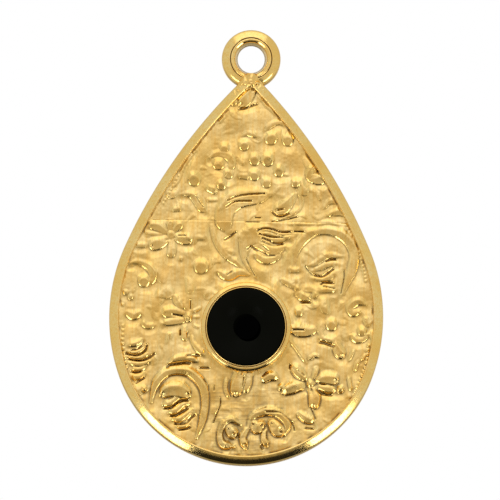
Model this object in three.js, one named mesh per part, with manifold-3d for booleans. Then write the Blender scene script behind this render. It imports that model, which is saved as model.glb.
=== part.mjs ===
// Evil eye ornament: a drop-shaped pendant with a hanging ring, an embossed scroll field and a
// round black eye. Millimetres, +Z up. The front faces -Y and the flat back faces +Y. The origin is
// the centre of the ring's hole.
import * as THREE from "three";
import { mergeVertices } from "three/addons/utils/BufferGeometryUtils.js";
import Module from "manifold-3d";

const wasm = await Module();
wasm.setup();

// Driving dimensions
const DROP = {
  lowCentreZ: -25, // centre of the round lower end
  lowRadius: 12.3,
  shoulderRadius: 16,
  flankRadius: 50,
  lowEnd: THREE.MathUtils.degToRad(70.5), // where the low arc meets the shoulder, from straight down
  shoulderEnd: THREE.MathUtils.degToRad(113.2), // where the shoulder meets the flank
};
const ARC_STEPS = { low: 14, shoulder: 8, flank: 8 };
const TURN_STEPS = 48; // facets of a turned piece

const BACK_Y = 1; // flat back of the pendant
const CARRIER_Y = -0.2; // front of the back plate
const FIELD_Y = -0.7; // front of the embossed plates
// The rim, with distances measured inwards from the drop's outline
const RIM = {
  frontY: -1.2,
  wall: 0.5, // thickness of the outer wall
  width: 0.9, // width of the front lip
  backChamfer: 0.12,
  shoulderY: -0.55, // where the outer wall ends
  bevel: { at: 0.12, y: -0.85 }, // where the long polished slope starts
  crest: 0.76, // where it ends
  innerY: -1.14, // front edge of the lip's inner wall
};
const SEAM = { z: -14.95, gap: 0.1 };

const LOOP = { outer: 2.7, groove: 1.9, hole: 1.2, crownY: 0.95, lipY: 0.85, clearance: 0.02 };
const EYE = { x: 0, z: -24.7, radius: 3.5, back: -0.6, front: -1.95, chamfer: 0.1 };
const PUPIL = { x: 0.2, z: -24.9, radius: 1.15, depth: 0.3, clearance: 0.02 };
const BEZEL = { outer: 4.1, floorY: -0.45, seatRadius: 3.55, front: -1.8 };
// The saddle over the foot of the ring: its front and the right half of its outline [x, z], from the top
const NECK = {
  frontY: -1.4,
  rightHalf: [
    [0, -1.4], [0.35, -1.5], [0.82, -1.8], [1.08, -2.2], [1.25, -2.7], [1.15, -3.2], [0.6, -3.4], [0, -3.45],
  ],
};
const FIT = 0.03; // radial clearance between pieces that sit in one another
const DEEPEST_OFFSET = RIM.width + 2 * FIT; // no outline is moved inwards by more

const SECTION_SIDES = 6; // sides of a relief stem
const STEM_STEPS = 3; // sweep steps between two control points of a stem
const SINK = 0.05; // how far the middle of a stem or bead lies under the field's surface

// Relief stems: radius, then the control points [x, z] of the middle line.
const STEMS = [
  { radius: 0.3, line: [[0, -3.2], [-0.3, -3.8], [-0.8, -4.4]] },
  { radius: 0.25, line: [[-0.9, -4.7], [0.5, -4.1]] },
  { radius: 0.24, line: [[1.5, -6.6], [2.0, -6.1], [2.7, -5.9], [3.1, -6.2]] },
  { radius: 0.22, line: [[-0.7, -7.15], [0, -7.0], [0.6, -7.2]] },
  { radius: 0.24, line: [[-2.6, -6.0], [-2.7, -7.0], [-2.6, -8.0]] },
  { radius: 0.26, line: [[-3.6, -9.2], [-2.9, -8.85], [-2.1, -9.0], [-1.6, -9.6], [-1.75, -10.6]] },
  { radius: 0.26, line: [[-6.0, -12.6], [-5.3, -12.7], [-4.7, -13.2], [-4.0, -14.1]] },
  { radius: 0.24, line: [[-3.8, -12.0], [-3.0, -12.35]] },
  { radius: 0.34, line: [[1.7, -12.3], [0.4, -12.3], [-1.0, -12.5], [-2.1, -13.3], [-2.5, -14.5]] },
  { radius: 0.3, line: [[1.4, -13.0], [0, -13.2], [-1.1, -13.7], [-1.7, -14.5]] },
  { radius: 0.32, line: [[4.3, -12.4], [3.9, -13.1], [3.1, -13.8], [2.4, -14.0]] },
  { radius: 0.22, line: [[4.5, -12.1], [4.9, -12.9], [4.7, -13.7], [4.0, -14.3]] },
  { radius: 0.34, line: [[6.2, -10.0], [5.7, -10.6], [6.2, -11.0], [6.9, -11.1]] },
  { radius: 0.22, line: [[6.9, -13.7], [7.4, -13.1], [8.1, -13.1]] },
  { radius: 0.22, line: [[7.1, -14.4], [7.7, -14.1], [8.4, -14.0]] },
  { radius: 0.3, line: [[-6.8, -16.2], [-8.2, -15.7], [-8.9, -15.6]] },
  { radius: 0.34, line: [[-7.0, -16.7], [-8.2, -17.2], [-8.8, -17.4]] },
  { radius: 0.3, line: [[-7.0, -16.6], [-6.9, -17.6], [-7.0, -18.3]] },
  { radius: 0.3, line: [[-6.9, -16.5], [-5.8, -16.8], [-5.2, -16.9]] },
  { radius: 0.24, line: [[-4.9, -17.1], [-4.5, -16.7], [-3.9, -16.7]] },
  { radius: 0.26, line: [[-10.7, -19.0], [-9.9, -18.95], [-9.0, -19.4], [-8.6, -20.2], [-8.9, -21.1]] },
  {
    radius: 0.28,
    line: [
      [-3.2, -15.2], [-3.2, -15.8], [-2.8, -17.0], [-2.0, -18.1], [-0.9, -18.9], [0.1, -19.6],
    ],
  },
  { radius: 0.28, line: [[-0.3, -15.6], [-0.4, -17.0], [-0.3, -18.2], [0.1, -19.1], [0.8, -19.9]] },
  { radius: 0.32, line: [[-0.2, -16.4], [0.4, -15.8], [1.2, -15.5], [2.2, -15.4], [4.2, -15.4]] },
  { radius: 0.24, line: [[0.5, -16.4], [1.5, -16.1], [2.4, -16.3], [3.8, -16.2]] },
  { radius: 0.24, line: [[0.7, -16.8], [1.5, -17.1], [2.2, -17.2], [3.3, -16.9]] },
  { radius: 0.24, line: [[0.3, -17.2], [1.3, -17.5], [2.2, -17.8], [3.0, -17.5]] },
  { radius: 0.22, line: [[0.2, -17.8], [1.2, -18.4], [2.4, -18.4], [3.0, -18.1]] },
  { radius: 0.28, line: [[-2.7, -19.6], [-2.1, -20.0], [-1.5, -20.1], [-0.8, -19.8]] },
  {
    radius: 0.34,
    line: [
      [4.4, -18.6], [4.5, -17.6], [5.0, -16.7], [6.0, -16.0], [7.2, -15.8], [8.4, -16.1], [9.2, -16.8],
      [9.7, -17.9], [9.6, -19.2], [9.1, -20.4], [8.8, -21.5],
    ],
  },
  { radius: 0.26, line: [[5.6, -18.95], [6.2, -18.8], [6.9, -18.3], [7.6, -18.0], [8.6, -18.1]] },
  { radius: 0.26, line: [[6.0, -19.4], [6.8, -19.1], [7.5, -18.9], [8.2, -18.8]] },
  { radius: 0.26, line: [[6.1, -20.1], [7.0, -20.1], [7.6, -20.0], [7.9, -19.7]] },
  { radius: 0.24, line: [[6.7, -21.3], [8.0, -21.2]] },
  { radius: 0.22, line: [[6.2, -15.35], [6.8, -15.25], [7.5, -15.2], [8.3, -15.3]] },
  { radius: 0.26, line: [[-10.9, -23.6], [-10.3, -23.9], [-9.7, -23.6]] },
  { radius: 0.24, line: [[-9.5, -24.5], [-9.0, -24.8], [-8.4, -24.7]] },
  { radius: 0.32, line: [[-5.5, -23.8], [-6.6, -23.5], [-7.5, -23.6]] },
  { radius: 0.26, line: [[-5.5, -24.1], [-6.6, -24.3], [-7.5, -24.5]] },
  { radius: 0.24, line: [[-5.6, -23.6], [-6.3, -22.6], [-6.6, -22.0]] },
  { radius: 0.26, line: [[-5.5, -24.2], [-5.6, -25.4], [-5.5, -26.0]] },
  { radius: 0.22, line: [[-5.0, -25.4], [-4.8, -26.2], [-4.2, -27.0]] },
  { radius: 0.24, line: [[-10.6, -26.6], [-9.9, -26.4], [-9.4, -26.0]] },
  { radius: 0.24, line: [[-10.7, -27.6], [-9.7, -27.7], [-8.9, -27.35]] },
  { radius: 0.24, line: [[-10.5, -28.2], [-9.6, -28.25], [-8.7, -28.0]] },
  { radius: 0.28, line: [[-7.0, -28.1], [-6.2, -27.8], [-5.2, -27.7], [-4.4, -27.9]] },
  { radius: 0.3, line: [[4.4, -21.4], [5.2, -21.9], [5.8, -22.0]] },
  { radius: 0.24, line: [[4.4, -21.1], [3.9, -20.7], [3.1, -20.3]] },
  { radius: 0.34, line: [[4.4, -25.0], [4.9, -25.0], [5.8, -25.0], [6.3, -24.8]] },
  { radius: 0.22, line: [[4.2, -26.0], [4.8, -26.8], [5.5, -27.8]] },
  { radius: 0.32, line: [[8.1, -26.2], [8.5, -26.8], [8.9, -27.2]] },
  { radius: 0.24, line: [[6.8, -25.6], [7.6, -25.8], [8.0, -26.0]] },
  { radius: 0.28, line: [[10.8, -22.4], [10.2, -22.2], [9.5, -22.7], [9.7, -23.2], [10.3, -23.1]] },
  { radius: 0.26, line: [[9.6, -25.3], [10.1, -25.7], [10.7, -25.6], [11.0, -25.3]] },
  { radius: 0.22, line: [[9.9, -26.6], [9.6, -27.2], [9.4, -27.7]] },
  { radius: 0.24, line: [[-10.2, -29.5], [-9.6, -29.4], [-9.1, -29.0]] },
  {
    radius: 0.34,
    line: [
      [-8.5, -31.7], [-8.3, -30.3], [-7.1, -29.0], [-6.2, -28.8], [-5.2, -28.95], [-4.4, -29.5],
      [-3.7, -30.4], [-3.6, -31.5], [-3.7, -32.8], [-4.0, -34.0], [-4.3, -34.8],
    ],
  },
  { radius: 0.36, line: [[-7.5, -31.0], [-6.8, -30.7], [-5.9, -30.6], [-5.1, -31.0]] },
  { radius: 0.26, line: [[-7.4, -31.9], [-6.7, -31.7], [-6.0, -31.2], [-5.2, -31.3]] },
  { radius: 0.26, line: [[-6.9, -32.6], [-6.2, -32.4], [-5.6, -31.9], [-4.9, -31.8]] },
  { radius: 0.26, line: [[-6.5, -33.3], [-5.8, -33.2], [-5.2, -32.7], [-4.7, -32.4]] },
  { radius: 0.34, line: [[-0.4, -29.2], [-0.6, -29.7], [-0.8, -30.8]] },
  { radius: 0.26, line: [[0.4, -29.1], [0.3, -29.8], [0.0, -30.7]] },
  { radius: 0.26, line: [[1.6, -29.6], [2.3, -29.2], [2.9, -29.3]] },
  { radius: 0.26, line: [[-0.1, -34.4], [-0.5, -33.9], [-1.1, -34.1], [-1.1, -34.8], [-0.5, -35.0]] },
  { radius: 0.24, line: [[0.55, -32.9], [0.6, -33.6], [0.5, -34.6], [1.0, -35.6]] },
  { radius: 0.3, line: [[2.6, -33.3], [2.0, -33.0], [1.4, -33.5], [1.5, -34.1], [2.1, -34.2]] },
  { radius: 0.34, line: [[2.6, -33.2], [3.3, -33.0], [4.0, -33.5], [3.9, -34.2], [3.3, -34.3]] },
  { radius: 0.3, line: [[5.9, -29.8], [4.9, -28.9], [4.4, -28.4]] },
  { radius: 0.24, line: [[6.1, -29.8], [6.4, -28.8], [6.5, -28.3]] },
  { radius: 0.34, line: [[6.2, -29.8], [7.4, -29.4], [8.3, -29.4]] },
  { radius: 0.26, line: [[6.2, -30.0], [7.5, -30.2], [8.2, -30.3]] },
  { radius: 0.38, line: [[6.1, -30.0], [6.35, -31.0], [6.3, -31.8]] },
  { radius: 0.3, line: [[5.9, -30.0], [4.7, -30.1], [3.6, -30.5]] },
  { radius: 0.24, line: [[9.4, -29.0], [9.6, -29.9], [9.7, -30.4]] },
  { radius: 0.26, line: [[4.9, -32.5], [5.6, -33.0], [6.3, -33.2]] },
];

// Round beads of the relief: [x, z, radius].
const BEADS = [
  [2.0, -7.4, 0.5], [3.5, -7.5, 0.45], [-0.5, -8.1, 0.4], [-2.3, -8.4, 0.35], [-2.8, -9.8, 0.45],
  [-5.0, -11.3, 0.5], [-2.5, -11.8, 0.35], [0.5, -9.4, 0.4], [1.7, -9.4, 0.45], [2.75, -10.4, 0.4],
  [0.5, -10.8, 0.4], [1.6, -11.5, 0.35], [4.3, -11.4, 0.32], [-7.0, -16.4, 0.35], [-9.4, -20.6, 0.45],
  [-4.2, -19.3, 0.55], [-5.3, -24.0, 0.35], [4.8, -23.3, 0.3], [7.8, -24.4, 0.42], [10.6, -24.9, 0.3],
  [3.3, -30.2, 0.25], [6.0, -29.9, 0.35], [8.7, -30.3, 0.28],
];

// A closed geometry as a manifold-3d solid.
function solid(geometry) {
  geometry.deleteAttribute("normal");
  geometry.deleteAttribute("uv");
  const merged = mergeVertices(geometry, 1e-4);
  return new wasm.Manifold(
    new wasm.Mesh({
      numProp: 3,
      vertProperties: merged.attributes.position.array,
      triVerts: new Uint32Array(merged.index.array),
    }),
  );
}

// A manifold-3d solid as flat-shaded three.js geometry.
function geometryOf(body) {
  const mesh = body.getMesh();
  const geometry = new THREE.BufferGeometry();
  geometry.setAttribute("position", new THREE.BufferAttribute(mesh.vertProperties, 3));
  geometry.setIndex(new THREE.BufferAttribute(mesh.triVerts, 1));
  const flat = geometry.toNonIndexed();
  flat.computeVertexNormals();
  return flat;
}

function join(bodies) {
  return bodies.reduce((whole, body) => whole.add(body));
}

function direction(angle) {
  return new THREE.Vector2(Math.sin(angle), -Math.cos(angle));
}

// The right half of the drop, from the bottom to the tip, moved inwards by an offset. Three tangent
// arcs, each centred on the line through the last centre and the point where the two arcs meet.
// Every offset stops at the same angle, where the deepest one reaches the middle line, which is
// inside the ring.
function rightHalf(offset) {
  const low = new THREE.Vector2(0, DROP.lowCentreZ);
  const shoulder = low
    .clone()
    .addScaledVector(direction(DROP.lowEnd), DROP.lowRadius - DROP.shoulderRadius);
  const flank = shoulder
    .clone()
    .addScaledVector(direction(DROP.shoulderEnd), DROP.shoulderRadius - DROP.flankRadius);
  const tip = Math.PI - Math.asin(-flank.x / (DROP.flankRadius - DEEPEST_OFFSET));
  const arcs = [
    { centre: low, radius: DROP.lowRadius, from: 0, to: DROP.lowEnd, steps: ARC_STEPS.low },
    {
      centre: shoulder,
      radius: DROP.shoulderRadius,
      from: DROP.lowEnd,
      to: DROP.shoulderEnd,
      steps: ARC_STEPS.shoulder,
    },
    { centre: flank, radius: DROP.flankRadius, from: DROP.shoulderEnd, to: tip, steps: ARC_STEPS.flank },
  ];
  const points = [new THREE.Vector2(0, DROP.lowCentreZ - DROP.lowRadius + offset)];
  for (const { centre, radius, from, to, steps } of arcs) {
    for (let i = 1; i <= steps; i++) {
      const angle = from + ((to - from) * i) / steps;
      points.push(centre.clone().addScaledVector(direction(angle), radius - offset));
    }
  }
  return points;
}

// The whole drop, from the left side of the tip round the bottom to the right side.
function outline(offset) {
  const right = rightHalf(offset);
  const left = right
    .slice(1)
    .reverse()
    .map((point) => new THREE.Vector2(-point.x, point.y));
  return [...left, ...right];
}

// A flat piece drawn in the X-Z plane, between two depths.
function slab(points, back, front) {
  const shape = new THREE.Shape(points);
  const geometry = new THREE.ExtrudeGeometry(shape, { depth: back - front, bevelEnabled: false });
  return solid(geometry.rotateX(Math.PI / 2).translate(0, back, 0));
}

// A piece turned about an axis along Y: its profile is a list of [radius, y].
function turned(profile, x = 0, z = 0) {
  const points = profile.map(([radius, y]) => new THREE.Vector2(radius, y));
  return solid(new THREE.LatheGeometry(points, TURN_STEPS).translate(x, 0, z));
}

function disc(radius, back, front, x, z) {
  return turned(
    [
      [0, front],
      [radius, front],
      [radius, back],
      [0, back],
    ],
    x,
    z,
  );
}

// A section of [offset, y] points carried round the drop, with a flat cap at each end.
function carriedRound(section) {
  const rails = section.map(([offset]) => outline(offset));
  const stations = rails[0].length;
  const count = section.length;
  const positions = [];
  for (let i = 0; i < stations; i++) {
    section.forEach(([, y], j) => positions.push(rails[j][i].x, y, rails[j][i].y));
  }
  const index = [];
  for (let i = 0; i < stations - 1; i++) {
    for (let j = 0; j < count; j++) {
      const a = i * count + j;
      const b = i * count + ((j + 1) % count);
      index.push(a, a + count, b, b, a + count, b + count);
    }
  }
  const last = (stations - 1) * count;
  const flat = section.map(([offset, y]) => new THREE.Vector2(offset, y));
  for (const [a, b, c] of THREE.ShapeUtils.triangulateShape(flat, [])) {
    index.push(a, b, c, last + a, last + c, last + b);
  }
  const geometry = new THREE.BufferGeometry();
  geometry.setAttribute("position", new THREE.Float32BufferAttribute(positions, 3));
  geometry.setIndex(index);
  return solid(geometry);
}

function ringSpace() {
  const radius = LOOP.outer + LOOP.clearance;
  return disc(radius, BACK_Y + 1, RIM.frontY - 1, 0, 0);
}

// Rim: an outer wall as deep as the pendant, with a bevelled lip over the edge of the plates.
function rimFrame() {
  const section = [
    [RIM.backChamfer, BACK_Y],
    [0, BACK_Y - RIM.backChamfer],
    [0, RIM.shoulderY],
    [RIM.bevel.at, RIM.bevel.y],
    [RIM.crest, RIM.frontY],
    [RIM.width, RIM.innerY],
    [RIM.width, FIELD_Y],
    [RIM.wall, FIELD_Y],
    [RIM.wall, BACK_Y],
  ];
  return carriedRound(section).subtract(ringSpace());
}

function backPlate() {
  return slab(outline(RIM.wall + FIT), BACK_Y, CARRIER_Y).subtract(ringSpace());
}

// A stem: a round section swept along a smooth line in the field's surface.
function stem({ radius, line }) {
  const points = line.map(([x, z]) => new THREE.Vector3(x, FIELD_Y + SINK, z));
  const path = new THREE.CatmullRomCurve3(points, false, "centripetal");
  const section = new THREE.Shape();
  for (let i = 0; i < SECTION_SIDES; i++) {
    const angle = (2 * Math.PI * i) / SECTION_SIDES;
    const corner = [radius * Math.cos(angle), radius * Math.sin(angle)];
    if (i === 0) section.moveTo(...corner);
    else section.lineTo(...corner);
  }
  const steps = STEM_STEPS * (line.length - 1);
  return solid(new THREE.ExtrudeGeometry(section, { steps, extrudePath: path, bevelEnabled: false }));
}

function bead([x, z, radius]) {
  return solid(new THREE.SphereGeometry(radius, 8, 5).translate(x, FIELD_Y + SINK, z));
}

// Everything raised on the field, kept inside the rim's lip and clear of the bezel.
function relief() {
  const raised = join([...STEMS.map(stem), ...BEADS.map(bead)]);
  const space = slab(outline(RIM.width + FIT), CARRIER_Y, RIM.frontY);
  return raised.intersect(space);
}

function bezelSpace() {
  return disc(BEZEL.outer + FIT, BACK_Y, RIM.frontY - 1, EYE.x, EYE.z);
}

// One of the two embossed plates: the part of the field between two heights.
function reliefPlate(low, high, neck) {
  const plate = slab(outline(RIM.wall + FIT), CARRIER_Y, FIELD_Y);
  const half = DROP.lowRadius * 2;
  const band = slab(
    [
      new THREE.Vector2(-half, low),
      new THREE.Vector2(half, low),
      new THREE.Vector2(half, high),
      new THREE.Vector2(-half, high),
    ],
    CARRIER_Y + 1,
    RIM.frontY - 1,
  );
  const embossed = plate.add(relief()).intersect(band);
  return embossed.subtract(bezelSpace()).subtract(ringSpace()).subtract(neck);
}

// The hanging ring: a rounded outer band and a rounded inner lip with a groove between them, the
// same on both faces.
function bailLoop() {
  const face = [
    [LOOP.hole, -0.4],
    [LOOP.hole + 0.15, -0.7],
    [LOOP.hole + 0.35, -LOOP.lipY],
    [LOOP.groove - 0.12, -0.75],
    [LOOP.groove, -0.6],
    [LOOP.groove + 0.15, -0.8],
    [LOOP.groove + 0.4, -LOOP.crownY],
    [LOOP.outer - 0.15, -0.8],
    [LOOP.outer, -0.4],
  ];
  const back = face.map(([radius, y]) => [radius, -y]).reverse();
  return turned([...face, ...back, face[0]]);
}

// The saddle over the joint between the ring and the tip.
function bailNeck(loop, rim) {
  const left = NECK.rightHalf
    .slice(1, -1)
    .reverse()
    .map(([x, z]) => [-x, z]);
  const points = [...NECK.rightHalf, ...left].map(([x, z]) => new THREE.Vector2(x, z));
  const block = slab(points, FIELD_Y, NECK.frontY);
  return block.subtract(loop).subtract(rim);
}

// The setting: a shallow cup with a rounded wall.
function bezelCup() {
  const wall = BEZEL.outer;
  const seat = BEZEL.seatRadius;
  return turned(
    [
      [0, BEZEL.floorY],
      [seat, BEZEL.floorY],
      [seat, BEZEL.front + 0.18],
      [seat + 0.1, BEZEL.front + 0.04],
      [seat + 0.25, BEZEL.front],
      [wall - 0.1, BEZEL.front + 0.1],
      [wall, BEZEL.front + 0.3],
      [wall, CARRIER_Y],
      [0, CARRIER_Y],
    ],
    EYE.x,
    EYE.z,
  );
}

function adhesiveDisc() {
  return disc(EYE.radius - 0.15, BEZEL.floorY, EYE.back, EYE.x, EYE.z);
}

function eyeIris() {
  const { radius, back, front, chamfer, x, z } = EYE;
  const body = turned(
    [
      [0, front],
      [radius - chamfer, front],
      [radius, front + chamfer],
      [radius, back],
      [0, back],
    ],
    x,
    z,
  );
  const pocket = disc(PUPIL.radius + PUPIL.clearance, front + PUPIL.depth, front - 1, PUPIL.x, PUPIL.z);
  return body.subtract(pocket);
}

function eyePupil() {
  return disc(PUPIL.radius, EYE.front + PUPIL.depth, EYE.front, PUPIL.x, PUPIL.z);
}

const polishedGold = { color: 0xe6bf6e, roughness: 0.16, metalness: 1 };
const satinGold = { color: 0xe2bb6c, roughness: 0.36, metalness: 1 };
const plainGold = { color: 0xd8ae60, roughness: 0.3, metalness: 1 };
const blackGlass = { color: 0x0b0d08, roughness: 0.08, metalness: 0 };
const pupilBlack = { color: 0x020202, roughness: 0.2, metalness: 0 };
const clearGlue = { color: 0xc9c6b4, roughness: 0.5, metalness: 0 };

const pendant = new THREE.Group();

function place(name, body, finish) {
  const mesh = new THREE.Mesh(geometryOf(body), new THREE.MeshStandardMaterial(finish));
  mesh.name = name;
  pendant.add(mesh);
}

const rim = rimFrame();
const loop = bailLoop();
const neck = bailNeck(loop, rim);
place("back_plate", backPlate(), plainGold);
place("rim_frame", rim, polishedGold);
place("relief_plate_upper", reliefPlate(SEAM.z + SEAM.gap / 2, 0, neck), satinGold);
place(
  "relief_plate_lower",
  reliefPlate(DROP.lowCentreZ - DROP.lowRadius, SEAM.z - SEAM.gap / 2, neck),
  satinGold,
);
place("bail_loop", loop, polishedGold);
place("bail_neck", neck, satinGold);
place("bezel_cup", bezelCup(), polishedGold);
place("adhesive_disc", adhesiveDisc(), clearGlue);
place("eye_iris", eyeIris(), blackGlass);
place("eye_pupil", eyePupil(), pupilBlack);

export default pendant;
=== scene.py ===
"""Looks for the evil eye ornament.

A gold drop with a hanging ring, an embossed scroll field and a flat black eye in a round bezel.
Millimetres in this file, in the part's own frame: +Z up, the front faces -Y, the origin is the
centre of the ring's hole. Meshes are written in metres.
"""

import functools
import math

import bmesh
import bpy
import numpy as np
from mathutils import Matrix, Vector


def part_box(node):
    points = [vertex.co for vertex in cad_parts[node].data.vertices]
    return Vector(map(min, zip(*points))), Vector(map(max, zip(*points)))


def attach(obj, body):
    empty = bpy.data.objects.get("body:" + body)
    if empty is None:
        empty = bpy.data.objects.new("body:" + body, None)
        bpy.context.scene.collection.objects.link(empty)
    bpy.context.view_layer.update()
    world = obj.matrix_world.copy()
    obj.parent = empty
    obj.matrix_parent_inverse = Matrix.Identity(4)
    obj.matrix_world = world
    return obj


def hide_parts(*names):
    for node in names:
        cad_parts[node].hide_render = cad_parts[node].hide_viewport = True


MM = 0.001
SEED = 7

# The drop's outline, the same three tangent arcs as the solid part
LOW_RADIUS = 12.3
SHOULDER_RADIUS = 16.0
FLANK_RADIUS = 50.0
LOW_END = math.radians(70.5)
SHOULDER_END = math.radians(113.2)

# Depths, front faces -Y
FIELD_Y = -0.7
CARRIER_Y = -0.2
RIM_WIDTH = 0.88
SEAM_Z = -14.95
SEAM_GAP = 0.012

RING_WAIST = 1.235  # radius of the ring's hole half way through
RING_GROOVE = 1.9  # radius of the fine groove on the ring's face
BEZEL_GROOVE = 0.19  # how far outside the eye the bezel's fine groove runs
LENS_REFLECTION_DEPTH = 0.3
EYE_BACK_Y = -0.6

CELL = {"upper": 0.048, "lower": 0.064, "neck": 0.035}  # grids of the embossed pieces
STEP = 0.05  # spacing of the points that a relief line is drawn with

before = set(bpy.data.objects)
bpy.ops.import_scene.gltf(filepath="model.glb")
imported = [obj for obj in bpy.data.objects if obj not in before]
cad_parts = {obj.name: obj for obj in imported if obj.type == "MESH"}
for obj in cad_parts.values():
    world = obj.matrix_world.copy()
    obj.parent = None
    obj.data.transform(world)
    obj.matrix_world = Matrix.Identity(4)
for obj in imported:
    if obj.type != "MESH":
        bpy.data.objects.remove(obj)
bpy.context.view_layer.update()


def box_mm(node):
    low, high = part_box(node)
    return np.array(low) / MM, np.array(high) / MM


RIM_LOW, RIM_HIGH = box_mm("rim_frame")
LOOP_LOW, LOOP_HIGH = box_mm("bail_loop")
BEZEL_LOW, BEZEL_HIGH = box_mm("bezel_cup")
EYE_LOW, EYE_HIGH = box_mm("eye_iris")
LENS_REFLECTION_LOW, LENS_REFLECTION_HIGH = box_mm("eye_pupil")
BACK_Y = RIM_HIGH[1]
LOW_CENTRE = np.array([0.0, RIM_LOW[2] + LOW_RADIUS])
LOOP_OUTER = LOOP_HIGH[0]
EYE_X, EYE_Z = (BEZEL_LOW[0] + BEZEL_HIGH[0]) / 2, (BEZEL_LOW[2] + BEZEL_HIGH[2]) / 2
EYE_RADIUS = (EYE_HIGH[0] - EYE_LOW[0]) / 2
BEZEL_OUTER = (BEZEL_HIGH[0] - BEZEL_LOW[0]) / 2
LENS_REFLECTION_X, LENS_REFLECTION_Z = (LENS_REFLECTION_LOW[0] + LENS_REFLECTION_HIGH[0]) / 2, (LENS_REFLECTION_LOW[2] + LENS_REFLECTION_HIGH[2]) / 2
LENS_REFLECTION_RADIUS = (LENS_REFLECTION_HIGH[0] - LENS_REFLECTION_LOW[0]) / 2


def ray(angle):
    """Unit vector at an angle from straight down, turning to +X."""
    return np.array([math.sin(angle), -math.cos(angle)])


SHOULDER_CENTRE = LOW_CENTRE + (LOW_RADIUS - SHOULDER_RADIUS) * ray(LOW_END)
FLANK_CENTRE = SHOULDER_CENTRE + (SHOULDER_RADIUS - FLANK_RADIUS) * ray(SHOULDER_END)

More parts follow.
